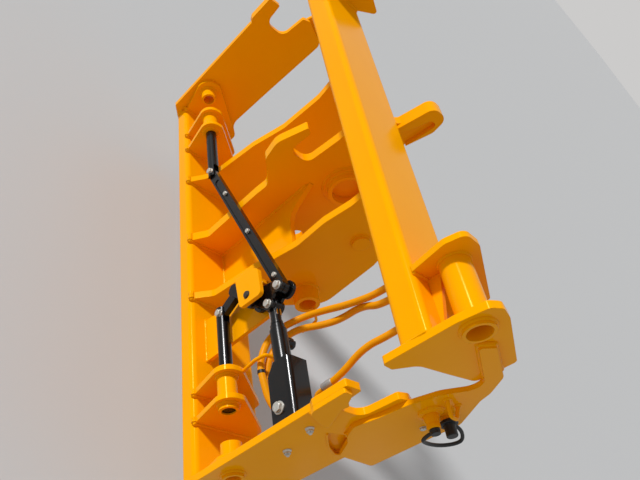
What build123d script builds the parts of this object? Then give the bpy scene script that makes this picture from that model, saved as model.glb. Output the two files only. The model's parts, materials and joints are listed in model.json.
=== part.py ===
from build123d import *
import math
import os

os.makedirs("parts", exist_ok=True)

# Quick-attach tool carriage from the nose of a lifting boom, in millimetres.
# X runs to the machine's left, Y to its rear and Z up. Every outline is drawn as
# (y, z) about the lock-pin axis, and save() moves it so that the origin is the
# middle of the boom pivot bore.

# Overall size and plate thicknesses
CARRIAGE_W = 1036.0
SIDE_T = 12.0
HOOK_T = 8.0
HEAD_T = 12.0
THROAT_T = 8.0
INNER_HEAD_T = 10.0
HEAD_BAY = 94.0
CHEEK_T = 16.0
HORN_T = 20.0
GUIDE_LUG_T = 10.0

# Boom pivot and tilt pin, from the lock-pin axis
PIVOT_Y = 168.0
PIVOT_Z = 70.0
PIVOT_R = 17.5
PIVOT_BOSS_R = 26.5
PIVOT_BOSS_L = 34.0
RETAINER_R = 3.0
TILT_Y = 148.0
TILT_Z = 248.0
TILT_R = 34.0
TILT_BOSS_R = 42.0
TILT_BOSS_L = 20.0
TILT_PAD_R = 50.0
TILT_PAD_T = 5.0
TILT_END_R = 18.0
TILT_END_T = 8.0
EAR_RIM_T = 10.0

# Lower cross member, a folded and welded box
LOWER_FRONT_Y = -15.0
LOWER_REAR_Y = 140.0
LOWER_TOP_Z = -78.0
LOWER_LIP_H = 34.0
LOWER_H = 94.0
LOWER_WALL = 8.0
LOWER_BEND_R = 11.0

# Upper beam, a rolled rectangular tube
BEAM_FRONT_Y = -38.0
BEAM_D = 121.0
BEAM_TOP_Z = 437.6
BEAM_H = 51.6
BEAM_WALL = 6.0
BEAM_BEND_R = 11.0

# Tubes at the heads, and the hooks of the side plates
HEAD_TUBE_Z = 484.0
HEAD_TUBE_R = 23.0
HEAD_BORE_R = 18.0
HEAD_TUBE_PROUD = 7.0
HEAD_TUBE_IN = 4.0
GUSSET_REAR_Y = 6.0
GUSSET_T = 8.0
SIDE_FRONT_Y = -39.0
HOOK_FRONT_Y = -46.0
POCKET_DEPTH = 7.0

# Centre plates: place along X of each plate's middle
RIGHT_CHEEK_X = -226.0
HORN_PLATE_X = -42.0
LEFT_CHEEK_X = 118.0
WEB_Y = 78.0
WEB_T = 12.0

# Lock pins, their guides and their bosses; the insets are from the side plate's inner face
PIN_R = 12.5
RUN_FIT = 0.05
BOSS_FIT = 0.5
GUIDE_R = 18.0
GUIDE_LUG_R = 30.0
GUIDE_L = 80.0
GUIDE_INSET = 98.0
LUG_INSETS = (10.0, 65.0)
BOSS_R = 18.0
BOSS_LUG_R = 34.0
BOSS_LUG_T = 10.0
BOSS_INSET = 39.0
BOSS_PROUD = 8.0
PIN_RECESS = 3.0

# Lock linkage, in the plane y = 0: (x, z) of each centre
CRANK_X = 233.0
CRANK_Z = 101.0
DRAG_PIN_X = 249.0
DRAG_PIN_Z = 166.0
ROD_PIN_X = 272.0
ROD_PIN_Z = 138.0
TOGGLE_PIN_X = 185.3
TOGGLE_PIN_Z = 49.8
ANCHOR_INSET = 31.0
ANCHOR_Z = 146.0
LEFT_FORK_X = 208.0
RIGHT_FORK_X = -185.0

# Lock linkage sections
CRANK_T = 6.0
LINK_T = 12.0
LINK_GAP = 2.0
CRANK_HUB_R = 16.0
CRANK_WEB_R = 22.0
CRANK_PIN_R = 8.0
JOINT_PIN_R = 5.0
CRANK_END_R = 12.0
DRAG_EYE_R = 17.0
DRAG_H = 22.0
DRAG_FACE_H = 13.0
DRAG_FACE_DEPTH = 2.0
DRAG_FACE_SHARE = 0.1
TOGGLE_H = 20.0
FORK_LEN = 22.0
FORK_CLEAR = 1.0
ROD_R = 9.0
ROD_EYE_R = 13.0
ROD_NECK = 10.0
ROD_OVERLAP = 2.0
BARREL_R = 15.0
BARREL_END = 18.0
BARREL_INSET = 192.0
BARREL_WALL_END = 30.0
GLAND_R = 12.5
GLAND_L = 10.0
ANCHOR_PIN_R = 6.0
ANCHOR_EYE_R = 11.5
ANCHOR_NECK_H = 18.0

# Cylinder cover, folded from plate and bolted to the side plate
COVER_T = 5.0
COVER_L = 110.0
COVER_FRONT_Y = -26.0
COVER_REAR_Y = 16.0
COVER_LOW_Z = 129.0
COVER_TOP_Z = 178.0
COVER_CUT_W = 20.0
COVER_CUT_H = 15.0
EAR_L = 43.0

# Crank bracket: post behind the crank, keeper plate in front, and the wall between
POST_FRONT_Y = 20.0
POST_T = 8.0
KEEPER_REAR_Y = -24.0
KEEPER_T = 8.0
WALL_X = 189.0
WALL_T = 8.0
WALL_LOW_Z = 88.0
WALL_TOP_Z = 110.0
HUB_GAP = 2.0

# Hoses and their end blocks
HOSE_R = 6.5
HOSE_BEND_R = 26.0
FEED_HOSE_R = 6.0
FEED_PIPE_R = 4.5
PORT_BLOCK_L = 62.0
PORT_FRONT_Y = 10.0
PORT_REAR_Y = 47.0
PORT_TOP_Z = 77.0
MANIFOLD_LOW_X = 284.0
MANIFOLD_HIGH_X = 342.0
MANIFOLD_D = 34.0
MANIFOLD_DROP = 8.0
MANIFOLD_RISE = 16.0
RING_ROD_R = 3.5

# Auxiliary couplings on the left throat plate
STUB_Y = 118.0
STUB_Z = 312.0
STUB_L = 20.0
STUB_ROOT_R = 12.5
STUB_END_R = 9.5
PLUG_R = 7.5
PLUG_L = 13.0
CAP_Y = 152.0
CAP_Z = 318.0
CAP_STEPS = ((3.0, 10.0), (8.0, 14.5), (20.0, 8.5))
GUARD_R = 3.0

SIDE_OUT = CARRIAGE_W / 2
SIDE_IN = SIDE_OUT - SIDE_T
INNER_HEAD_X = SIDE_IN - HEAD_BAY - INNER_HEAD_T
BEAM_REAR_Y = BEAM_FRONT_Y + BEAM_D
BEAM_LOW_Z = BEAM_TOP_Z - BEAM_H
LOWER_LOW_Z = LOWER_TOP_Z - LOWER_H
GUIDE_OUT_X = SIDE_IN - GUIDE_INSET
GUIDE_IN_X = GUIDE_OUT_X - GUIDE_L
ANCHOR_X = SIDE_IN - ANCHOR_INSET
CYL_LEN = math.hypot(ANCHOR_X - ROD_PIN_X, ANCHOR_Z - ROD_PIN_Z)
CRANK_IN_Y = LINK_T / 2 + LINK_GAP
CRANK_OUT_Y = CRANK_IN_Y + CRANK_T
COUPLING_X = SIDE_OUT + THROAT_T
CHEEK_FACE_X = LEFT_CHEEK_X + CHEEK_T / 2
HORN_FACE_X = HORN_PLATE_X + HORN_T / 2


def outline(rows):
    """A flat face in (y, z) from rows of y, z and corner radius."""
    points = [(y, z) for y, z, r in rows]
    radii = [r for y, z, r in rows]
    return make_face(FilletPolyline(*points, radius=radii, close=True))


def plate_x(face, low_x, thick):
    """A plate square to X: the (y, z) face from low_x for its thickness."""
    return extrude(Plane.YZ.offset(low_x) * face, amount=thick)


def plate_y(face, rear_y, thick):
    """A plate square to Y: the (x, z) face from rear_y forwards for its thickness."""
    return extrude(Plane.XZ.offset(-rear_y) * face, amount=thick)


def rod_x(x0, x1, y, z, r):
    """A round bar along X."""
    return Pos((x0 + x1) / 2, y, z) * Rot(0, 90, 0) * Cylinder(r, abs(x1 - x0))


def rod_y(y0, y1, x, z, r):
    """A round bar along Y."""
    return Pos(x, (y0 + y1) / 2, z) * Rot(90, 0, 0) * Cylinder(r, abs(y1 - y0))


def block(x0, x1, y0, y1, z0, z1):
    """A box between two corners."""
    centre = Pos((x0 + x1) / 2, (y0 + y1) / 2, (z0 + z1) / 2)
    return centre * Box(x1 - x0, y1 - y0, z1 - z0)


def bar_between(xa, za, xb, zb, height, y0, y1):
    """A flat bar with round ends in the plane y, from one pin centre to the other."""
    length = math.hypot(xb - xa, zb - za)
    angle = math.degrees(math.atan2(zb - za, xb - xa))
    slot = Pos((xa + xb) / 2, (za + zb) / 2) * Rot(0, 0, angle) * SlotCenterToCenter(length, height)
    return plate_y(slot, y1, y1 - y0)


def along(points, bend_r, r):
    """A round bar or hose through points of x, y, z, with every bend at one radius."""
    path = FilletPolyline(*points, radius=bend_r)
    return sweep(Plane(origin=path @ 0, z_dir=path % 0) * Circle(r), path=path)


def save(name, solid):
    """Write one piece, moved so that the boom pivot bore is the origin."""
    export_step(Pos(0, -PIVOT_Y, -PIVOT_Z) * solid, f"parts/{name}.step")


def save_pair(name, solid):
    """Write a left piece and its mirror on the right."""
    save(f"{name}_left", solid)
    save(f"{name}_right", mirror(solid, about=Plane.YZ))


def lower_cross_member():
    """Box along the bottom: flat top, folded front lip, and a chamfered belly."""
    rows = [
        (LOWER_FRONT_Y, LOWER_TOP_Z, LOWER_BEND_R),
        (LOWER_FRONT_Y, LOWER_TOP_Z - LOWER_LIP_H, LOWER_BEND_R),
        (LOWER_FRONT_Y + LOWER_H - LOWER_LIP_H, LOWER_LOW_Z, LOWER_BEND_R),
        (LOWER_REAR_Y, LOWER_LOW_Z, LOWER_BEND_R),
        (LOWER_REAR_Y, LOWER_TOP_Z, LOWER_BEND_R),
    ]
    outer = outline(rows)
    inner = offset(outer, amount=-LOWER_WALL)
    return plate_x(outer - inner, -SIDE_IN, 2 * SIDE_IN)


def top_beam():
    """Rectangular tube between the two head plates."""
    mid = Pos(BEAM_FRONT_Y + BEAM_D / 2, BEAM_LOW_Z + BEAM_H / 2)
    outer = mid * RectangleRounded(BEAM_D, BEAM_H, BEAM_BEND_R)
    inner_w = BEAM_D - 2 * BEAM_WALL
    inner_h = BEAM_H - 2 * BEAM_WALL
    inner = mid * RectangleRounded(inner_w, inner_h, BEAM_BEND_R - BEAM_WALL)
    return plate_x(outer - inner, -SIDE_IN, 2 * SIDE_IN)


# Side plate: y, z, corner radius. It rises into a prong, an open seat and a lip.
SIDE_ROWS = [
    (SIDE_FRONT_Y, -90.0, 0.0),
    (SIDE_FRONT_Y, 221.0, 6.0),
    (HOOK_FRONT_Y, 231.0, 6.0),
    (HOOK_FRONT_Y, 297.0, 3.0),
    (-16.0, 298.0, 3.0),
    (-11.0, 243.0, 23.0),
    (44.0, 243.0, 20.0),
    (52.0, 309.0, 5.0),
    (71.0, 314.0, 8.0),
    (134.0, 286.0, 20.0),
    (124.0, 95.0, 0.0),
    (118.0, -45.0, 40.0),
    (150.0, -74.0, 20.0),
    (150.0, LOWER_LOW_Z - 8.0, 12.0),
    (50.0, LOWER_LOW_Z - 8.0, 30.0),
]
POCKET_ROWS = [
    (33.0, 181.0, 3.0),
    (54.0, 161.0, 12.0),
    (82.0, 139.0, 14.0),
    (104.0, 131.5, 6.0),
    (110.0, 141.0, 6.0),
    (103.0, 156.0, 14.0),
    (85.0, 176.0, 14.0),
    (71.0, 190.0, 3.0),
]

# Hook plate: a second layer on the outer face of the prong
HOOK_ROWS = [
    (-40.0, 220.0, 4.0),
    (HOOK_FRONT_Y, 232.0, 6.0),
    (HOOK_FRONT_Y, 293.0, 3.0),
    (-30.0, 292.0, 3.0),
    (-19.0, 274.0, 8.0),
    (-10.0, 267.0, 3.0),
    (-13.0, 255.0, 8.0),
    (14.0, 199.0, 5.0),
]

# Throat plates: each runs from its side plate up round the throat to the head plate.
# The left one is wider at the rear, where it carries the couplings.
THROAT_FRONT_ROWS = [
    (99.0, 143.0, 6.0),
    (76.0, 182.0, 8.0),
    (59.0, 197.0, 10.0),
    (44.0, 224.0, 14.0),
    (57.0, 265.0, 40.0),
    (66.0, 313.0, 60.0),
    (86.0, 357.0, 40.0),
    (132.0, 404.0, 22.0),
    (28.0, 462.0, 5.0),
    (50.0, 477.0, 5.0),
    (128.0, 437.0, 24.0),
    (152.0, 398.0, 30.0),
]
THROAT_LEFT_ROWS = THROAT_FRONT_ROWS + [
    (158.0, 376.0, 30.0),
    (196.0, 312.0, 24.0),
    (189.5, 246.6, 0.0),
    (181.0, 138.0, 6.0),
]
THROAT_RIGHT_ROWS = THROAT_FRONT_ROWS + [
    (150.0, 330.0, 30.0),
    (124.0, 280.0, 30.0),
    (120.0, 143.0, 6.0),
]

# Head plate: carries the beam end and the shaft tube
HEAD_ROWS = [
    (-43.0, 360.0, 5.0),
    (-36.0, 476.0, 40.0),
    (-26.0, 520.0, 10.0),
    (-8.0, 529.0, 12.0),
    (16.0, 522.0, 20.0),
    (122.0, 466.0, 8.0),
    (116.0, 400.0, 12.0),
    (57.0, 391.0, 20.0),
    (4.0, 384.0, 30.0),
    (-22.0, 358.0, 5.0),
]
INNER_HEAD_ROWS = [
    (BEAM_FRONT_Y + 2.0, BEAM_TOP_Z, 0.0),
    (-45.0, 500.0, 16.0),
    (-36.0, 530.0, 14.0),
    (-2.0, 528.0, 16.0),
    (124.0, 462.0, 6.0),
    (BEAM_REAR_Y - 4.0, BEAM_TOP_Z, 0.0),
]


def side_plate():
    """Side plate with a shallow pocket outside and the hole for the pin boss."""
    plate = plate_x(outline(SIDE_ROWS), SIDE_IN, SIDE_T)
    plate -= plate_x(outline(POCKET_ROWS), SIDE_OUT - POCKET_DEPTH, POCKET_DEPTH)
    return plate - rod_x(SIDE_IN, SIDE_OUT, 0, 0, BOSS_R)


def head_plate():
    """Head plate with the hole for the shaft tube."""
    plate = plate_x(outline(HEAD_ROWS), SIDE_IN, HEAD_T)
    return plate - rod_x(SIDE_IN, SIDE_IN + HEAD_T, 0, HEAD_TUBE_Z, HEAD_TUBE_R)


def inner_head_plate():
    """Second support of the shaft tube, standing on the beam."""
    plate = plate_x(outline(INNER_HEAD_ROWS), INNER_HEAD_X, INNER_HEAD_T)
    return plate - rod_x(INNER_HEAD_X, INNER_HEAD_X + INNER_HEAD_T, 0, HEAD_TUBE_Z, HEAD_TUBE_R)


def head_tube():
    """Thick tube for the tool shaft, through both head plates."""
    x0 = INNER_HEAD_X - HEAD_TUBE_IN
    x1 = SIDE_IN + HEAD_T + HEAD_TUBE_PROUD
    tube = rod_x(x0, x1, 0, HEAD_TUBE_Z, HEAD_TUBE_R)
    return tube - rod_x(x0, x1, 0, HEAD_TUBE_Z, HEAD_BORE_R)


def beam_gusset():
    """Triangular gusset on the beam between the inner and outer head plates."""
    x0 = INNER_HEAD_X + INNER_HEAD_T
    top = HEAD_TUBE_Z - HEAD_TUBE_R
    face = make_face(Polyline((x0, top), (SIDE_IN, BEAM_TOP_Z), (x0, BEAM_TOP_Z), close=True))
    return plate_y(face, GUSSET_REAR_Y, GUSSET_T)


# Right cheek: y, z, corner radius
TOE = (LOWER_FRONT_Y + 2.0, LOWER_TOP_Z, 0.0)
RIGHT_CHEEK_ROWS = [
    TOE,
    (14.0, -44.0, 20.0),
    (25.0, -6.0, 30.0),
    (38.0, 100.0, 60.0),
    (59.0, 183.0, 60.0),
    (65.0, 290.0, 40.0),
    (52.0, BEAM_LOW_Z, 0.0),
    (BEAM_REAR_Y, BEAM_LOW_Z, 0.0),
    (200.0, 310.0, 40.0),
    (232.0, 212.0, 40.0),
    (233.0, 60.0, 50.0),
    (150.0, 0.0, 40.0),
    (LOWER_REAR_Y, LOWER_TOP_Z, 0.0),
]
LEFT_CHEEK_ROWS = [
    TOE,
    (20.0, -44.0, 20.0),
    (32.0, 60.0, 40.0),
    (54.0, 167.0, 60.0),
    (51.0, 244.0, 60.0),
    (60.0, 306.0, 40.0),
    (60.0, BEAM_LOW_Z, 0.0),
    (BEAM_REAR_Y, BEAM_LOW_Z, 0.0),
    (205.0, 300.0, 40.0),
    (226.0, 212.0, 40.0),
    (233.0, 60.0, 50.0),
    (150.0, 0.0, 40.0),
    (LOWER_REAR_Y, LOWER_TOP_Z, 0.0),
]

# Horn plate: the middle plate, with a hooked horn in front and an ear above the beam
HORN_ROWS = [
    TOE,
    (12.0, -44.0, 16.0),
    (12.0, 120.0, 20.0),
    (14.0, 149.0, 20.0),
    (-5.0, 172.0, 24.0),
    (-36.0, 200.0, 20.0),
    (-46.0, 245.0, 40.0),
    (-22.0, 309.0, 3.0),
    (-9.0, 301.0, 3.0),
    (-12.0, 244.0, 16.0),
    (38.0, 244.0, 18.0),
    (46.0, 318.0, 20.0),
    (50.0, BEAM_LOW_Z, 0.0),
    (BEAM_REAR_Y, BEAM_LOW_Z, 0.0),
    (BEAM_REAR_Y, BEAM_TOP_Z - BEAM_BEND_R, 0.0),
    (111.0, 420.0, 12.0),
    (130.0, 497.0, 20.0),
    (170.0, 497.0, 20.0),
    (176.0, 458.0, 24.0),
    (158.0, 402.0, 20.0),
    (205.0, 330.0, 40.0),
    (233.0, 212.0, 40.0),
    (233.0, 60.0, 50.0),
    (150.0, 0.0, 40.0),
    (LOWER_REAR_Y, LOWER_TOP_Z, 0.0),
]

EAR_RIM_ROWS = [
    (106.5, 402.0, 0.0),
    (130.0, 497.0, 20.0),
    (170.0, 497.0, 20.0),
    (176.0, 458.0, 24.0),
    (158.0, 402.0, 0.0),
]
EAR_FACE_ROWS = [
    (112.0, 402.0, 0.0),
    (131.0, 429.0, 20.0),
    (149.0, 474.0, 8.0),
    (168.0, 474.0, 8.0),
    (157.0, 402.0, 0.0),
]


def pivot_hole(x_mid, thick):
    """The boom pivot hole through a plate."""
    return rod_x(x_mid - thick / 2, x_mid + thick / 2, PIVOT_Y, PIVOT_Z, PIVOT_R)


def centre_plate(rows, x_mid, thick):
    """A centre plate with its pivot hole."""
    return plate_x(outline(rows), x_mid - thick / 2, thick) - pivot_hole(x_mid, thick)


def horn_plate():
    """The middle plate: its ear has a raised rim, and the blind tilt boss stands on its left."""
    plate = centre_plate(HORN_ROWS, HORN_PLATE_X, HORN_T)
    plate += plate_x(outline(EAR_RIM_ROWS) - outline(EAR_FACE_ROWS), HORN_FACE_X, EAR_RIM_T)
    plate += rod_x(HORN_FACE_X, HORN_FACE_X + TILT_BOSS_L, TILT_Y, TILT_Z, TILT_BOSS_R)
    plate += rod_x(HORN_FACE_X, HORN_FACE_X + TILT_PAD_T, TILT_Y, TILT_Z, TILT_PAD_R)
    return plate - rod_x(HORN_FACE_X, HORN_FACE_X + TILT_BOSS_L, TILT_Y, TILT_Z, TILT_R)


# Retaining rod of the pivot pin, on the boss's end face: y, z
RETAINER_ROWS = [(187.0, 71.0), (197.0, 62.0), (222.0, 41.0), (228.0, 13.0), (226.0, -7.0)]


def cheek_left():
    """Left cheek with the pivot boss, the pin's retaining rod and the boss of the tilt pin."""
    end_x = CHEEK_FACE_X + PIVOT_BOSS_L
    cheek = plate_x(outline(LEFT_CHEEK_ROWS), CHEEK_FACE_X - CHEEK_T, CHEEK_T)
    cheek += rod_x(CHEEK_FACE_X, end_x, PIVOT_Y, PIVOT_Z, PIVOT_BOSS_R)
    cheek += rod_x(CHEEK_FACE_X, CHEEK_FACE_X + TILT_END_T, TILT_Y, TILT_Z, TILT_END_R)
    rod_at = end_x + RETAINER_R / 2
    cheek += along([(rod_at, y, z) for y, z in RETAINER_ROWS], 2 * RETAINER_R, RETAINER_R)
    return cheek - rod_x(CHEEK_FACE_X - CHEEK_T, end_x + 2 * RETAINER_R, PIVOT_Y, PIVOT_Z, PIVOT_R)


# Web between the horn plate and the left cheek, with a concave top edge: x, z, corner radius
WEB_ROWS = [
    (HORN_FACE_X, LOWER_TOP_Z, 0.0),
    (HORN_FACE_X, 208.0, 0.0),
    (8.0, 138.0, 50.0),
    (CHEEK_FACE_X - CHEEK_T, 134.0, 0.0),
    (CHEEK_FACE_X - CHEEK_T, LOWER_TOP_Z, 0.0),
]


def pin_lug(r, low_x, thick):
    """A lug round the lock-pin axis, standing on the lower cross member."""
    rows = [
        TOE,
        (2.0 - r, 0.0, 0.0),
        (2.0 - r, r, r - 4.0),
        (12.0, r, 18.0),
        (118.0, -48.0, 12.0),
        (122.0, LOWER_TOP_Z, 0.0),
    ]
    return plate_x(outline(rows), low_x, thick)


def pin_guide():
    """Guide tube of a lock pin on its two lugs."""
    tube = rod_x(GUIDE_IN_X, GUIDE_OUT_X, 0, 0, GUIDE_R)
    for inset in LUG_INSETS:
        tube += pin_lug(GUIDE_LUG_R, GUIDE_IN_X + inset - GUIDE_LUG_T / 2, GUIDE_LUG_T)
    return tube - rod_x(GUIDE_IN_X, GUIDE_OUT_X, 0, 0, PIN_R + RUN_FIT)


def pin_boss():
    """Boss in the side plate that takes the pin's nose, with a lug inside the plate."""
    x0 = SIDE_IN - BOSS_INSET
    x1 = SIDE_OUT + BOSS_PROUD
    ring = rod_x(x0, x1, 0, 0, BOSS_R) + pin_lug(BOSS_LUG_R, SIDE_IN - BOSS_LUG_T, BOSS_LUG_T)
    return ring - rod_x(x0, x1, 0, 0, PIN_R + BOSS_FIT)


def lock_pin(fork_x, toward):
    """Round pin whose inner end is slotted for a flat link."""
    nose = toward * (GUIDE_OUT_X - PIN_RECESS)
    pin = rod_x(fork_x - toward * CRANK_END_R, nose, 0, 0, PIN_R)
    half = LINK_T / 2 + FORK_CLEAR
    a, b = sorted((fork_x - toward * CRANK_END_R, fork_x + toward * FORK_LEN))
    return pin - block(a, b, -half, half, -PIN_R, PIN_R)


def bell_crank():
    """Two cheek plates on a hub, with a pin at each of the three link centres."""
    ends = [(DRAG_PIN_X, DRAG_PIN_Z), (ROD_PIN_X, ROD_PIN_Z), (TOGGLE_PIN_X, TOGGLE_PIN_Z)]
    face = Pos(CRANK_X, CRANK_Z) * Circle(CRANK_WEB_R)
    for x, z in ends:
        length = math.hypot(x - CRANK_X, z - CRANK_Z)
        angle = math.degrees(math.atan2(z - CRANK_Z, x - CRANK_X))
        mid = Pos((x + CRANK_X) / 2, (z + CRANK_Z) / 2) * Rot(0, 0, angle)
        face += mid * SlotCenterToCenter(length, 2 * CRANK_END_R)
    face += make_face(Polyline(ends[0], ends[1], (CRANK_X, CRANK_Z), close=True))
    rear_face = face + Pos(DRAG_PIN_X, DRAG_PIN_Z) * Circle(DRAG_EYE_R)
    crank = plate_y(face, -CRANK_IN_Y, CRANK_T) + plate_y(rear_face, CRANK_OUT_Y, CRANK_T)
    crank += rod_y(KEEPER_REAR_Y + HUB_GAP, POST_FRONT_Y - HUB_GAP, CRANK_X, CRANK_Z, CRANK_HUB_R)
    for x, z in (ends[0], ends[2]):
        crank += rod_y(-CRANK_OUT_Y, CRANK_OUT_Y, x, z, JOINT_PIN_R)
    return crank - rod_y(KEEPER_REAR_Y, POST_FRONT_Y, CRANK_X, CRANK_Z, CRANK_PIN_R + RUN_FIT)


# Bracket plates: x, z, corner radius
POST_ROWS = [
    (168.0, LOWER_TOP_Z, 0.0),
    (262.0, LOWER_TOP_Z, 0.0),
    (262.0, 124.0, 8.0),
    (190.0, 124.0, 8.0),
]
KEEPER_ROWS = [
    (189.0, 78.0, 5.0),
    (256.0, 84.0, 8.0),
    (258.0, 141.0, 8.0),
    (201.0, 140.0, 10.0),
    (187.0, 112.0, 8.0),
]


def crank_bracket():
    """Post, wall and front keeper plate that carry the crank's pin."""
    post = plate_y(outline(POST_ROWS), POST_FRONT_Y + POST_T, POST_T)
    keeper = plate_y(outline(KEEPER_ROWS), KEEPER_REAR_Y, KEEPER_T)
    wall = block(WALL_X, WALL_X + WALL_T, KEEPER_REAR_Y, POST_FRONT_Y, WALL_LOW_Z, WALL_TOP_Z)
    pin = rod_y(KEEPER_REAR_Y - KEEPER_T, POST_FRONT_Y + POST_T, CRANK_X, CRANK_Z, CRANK_PIN_R)
    return post + keeper + wall + pin


def drag_link():
    """Long link from the crank to the right lock pin, with a sunk band along each face."""
    half = LINK_T / 2
    ends = (RIGHT_FORK_X, 0, DRAG_PIN_X, DRAG_PIN_Z)
    run_x = (DRAG_PIN_X - RIGHT_FORK_X) * DRAG_FACE_SHARE
    run_z = DRAG_PIN_Z * DRAG_FACE_SHARE
    band = (RIGHT_FORK_X + run_x, run_z, DRAG_PIN_X - run_x, DRAG_PIN_Z - run_z, DRAG_FACE_H)
    bar = bar_between(*ends, DRAG_H, -half, half)
    bar -= bar_between(*band, -half, DRAG_FACE_DEPTH - half)
    bar -= bar_between(*band, half - DRAG_FACE_DEPTH, half)
    return bar - rod_y(-half, half, DRAG_PIN_X, DRAG_PIN_Z, JOINT_PIN_R + RUN_FIT)


def toggle_link():
    """Short link from the crank's lower arm to the left lock pin."""
    half = LINK_T / 2
    bar = bar_between(TOGGLE_PIN_X, TOGGLE_PIN_Z, LEFT_FORK_X, 0, TOGGLE_H, -half, half)
    return bar - rod_y(-half, half, TOGGLE_PIN_X, TOGGLE_PIN_Z, JOINT_PIN_R + RUN_FIT)


def along_cylinder(solid):
    """Turn a solid drawn along -X from the anchor onto the cylinder's line."""
    angle = math.degrees(math.atan2(ROD_PIN_Z - ANCHOR_Z, ANCHOR_X - ROD_PIN_X))
    return Pos(ANCHOR_X, 0, ANCHOR_Z) * Rot(0, angle, 0) * Rot(0, 0, 180) * solid


def cylinder_barrel():
    """Barrel with its gland and the lug at its anchor."""
    half = LINK_T / 2
    neck = ANCHOR_NECK_H / 2
    barrel = rod_x(BARREL_END, BARREL_INSET - ANCHOR_INSET - GLAND_L, 0, 0, BARREL_R)
    barrel += rod_x(BARREL_END, BARREL_INSET - ANCHOR_INSET, 0, 0, GLAND_R)
    barrel += rod_y(-half, half, 0, 0, ANCHOR_EYE_R) + block(0, 2 * ANCHOR_EYE_R, -half, half, -neck, neck)
    barrel -= rod_x(BARREL_WALL_END, BARREL_INSET - ANCHOR_INSET, 0, 0, ROD_R + RUN_FIT)
    return along_cylinder(barrel - rod_y(-LINK_T, LINK_T, 0, 0, ANCHOR_PIN_R + RUN_FIT))


def cylinder_rod():
    """Rod with a flat eye that runs between the crank's cheeks."""
    half = LINK_T / 2
    neck = CYL_LEN - ROD_EYE_R - ROD_NECK
    rod = rod_x(BARREL_WALL_END + ROD_NECK, neck + ROD_OVERLAP, 0, 0, ROD_R)
    eye = rod_y(-half, half, CYL_LEN, 0, ROD_EYE_R) + block(neck, CYL_LEN, -half, half, -ROD_R, ROD_R)
    return along_cylinder(rod + eye)


# Base of the cylinder cover, bolted to the side plate: y, z, corner radius
BASE_ROWS = [
    (COVER_FRONT_Y, COVER_LOW_Z, 0.0),
    (COVER_FRONT_Y, COVER_TOP_Z, 0.0),
    (30.0, COVER_TOP_Z, 10.0),
    (30.0, 130.0, 16.0),
    (52.0, 110.0, 12.0),
    (52.0, 79.0, 10.0),
    (22.0, 79.0, 10.0),
]


def cylinder_cover():
    """Folded guard in front of and over the cylinder, with the ear that anchors it."""
    x0 = SIDE_IN - COVER_L
    base_x = SIDE_IN - COVER_T
    inner_y = COVER_FRONT_Y + COVER_T
    rows = [
        (COVER_FRONT_Y, COVER_LOW_Z, 0.0),
        (COVER_FRONT_Y, COVER_TOP_Z, 2 * COVER_T),
        (COVER_REAR_Y, COVER_TOP_Z, 0.0),
        (COVER_REAR_Y, COVER_TOP_Z - COVER_T, 0.0),
        (inner_y, COVER_TOP_Z - COVER_T, COVER_T),
        (inner_y, COVER_LOW_Z, 0.0),
    ]
    cover = plate_x(outline(rows), x0, COVER_L - COVER_T) + plate_x(outline(BASE_ROWS), base_x, COVER_T)
    cover += block(SIDE_IN - EAR_L, base_x, COVER_REAR_Y - COVER_T, COVER_REAR_Y, COVER_LOW_Z, COVER_TOP_Z)
    corner = (x0, COVER_LOW_Z), (x0 + COVER_CUT_W, COVER_LOW_Z), (x0, COVER_LOW_Z + COVER_CUT_H)
    cover -= plate_y(make_face(Polyline(*corner, close=True)), inner_y, COVER_T)
    return cover + rod_y(inner_y, COVER_REAR_Y - COVER_T, ANCHOR_X, ANCHOR_Z, ANCHOR_PIN_R)


# Hoses: x, y, z. Two run from the block behind the beam to the block under the cylinder.
PORT_X = SIDE_IN - PORT_BLOCK_L
MANIFOLD_LOW_Z = BEAM_LOW_Z - MANIFOLD_DROP
HOSE_A_ROWS = [
    (300.0, 100.0, MANIFOLD_LOW_Z),
    (300.0, 100.0, 298.0),
    (280.0, 100.0, 222.0),
    (262.0, 90.0, 160.0),
    (262.0, 75.0, 125.0),
    (275.0, 52.0, 100.0),
    (290.0, 40.0, 77.0),
    (318.0, 30.0, 72.0),
    (400.0, 20.0, 66.0),
    (PORT_X, 20.0, 66.0),
]
HOSE_B_ROWS = [
    (326.0, 100.0, MANIFOLD_LOW_Z),
    (326.0, 100.0, 294.0),
    (288.0, 114.0, 240.0),
    (287.0, 113.0, 188.0),
    (286.0, 97.0, 155.0),
    (280.0, 82.0, 125.0),
    (285.0, 67.0, 104.0),
    (302.0, 53.0, 80.0),
    (332.0, 42.0, 65.0),
    (400.0, 37.0, 66.0),
    (PORT_X, 37.0, 66.0),
]
FEED_ROWS = [
    (411.0, 60.0, BEAM_LOW_Z),
    (411.0, 60.0, 312.0),
    (408.0, 60.0, 272.0),
    (426.0, 60.0, 199.0),
    (428.0, 60.0, 184.0),
]
PIPE_ROWS = [(428.0, 60.0, 184.0), (433.0, 60.0, 146.5), (SIDE_IN, 60.0, 146.5)]
# Bent rod that holds the two hoses: y, z, from the inner lug of the left pin guide
RING_ROWS = [(19.0, 8.0), (11.0, 65.0), (14.0, 88.0), (34.0, 89.0), (44.0, 80.0)]


def pin_guide_left():
    """Left pin guide, with the bent rod that holds the two hoses on its inner lug."""
    x = GUIDE_IN_X + LUG_INSETS[0]
    return pin_guide() + along([(x, y, z) for y, z in RING_ROWS], 2 * RING_ROD_R, RING_ROD_R)


def port_block():
    """Block on the side plate that takes the two hoses of the lock cylinder."""
    low = HOSE_A_ROWS[-1][2] - 2 * HOSE_R
    return block(PORT_X, SIDE_IN, PORT_FRONT_Y, PORT_REAR_Y, low, PORT_TOP_Z)


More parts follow.
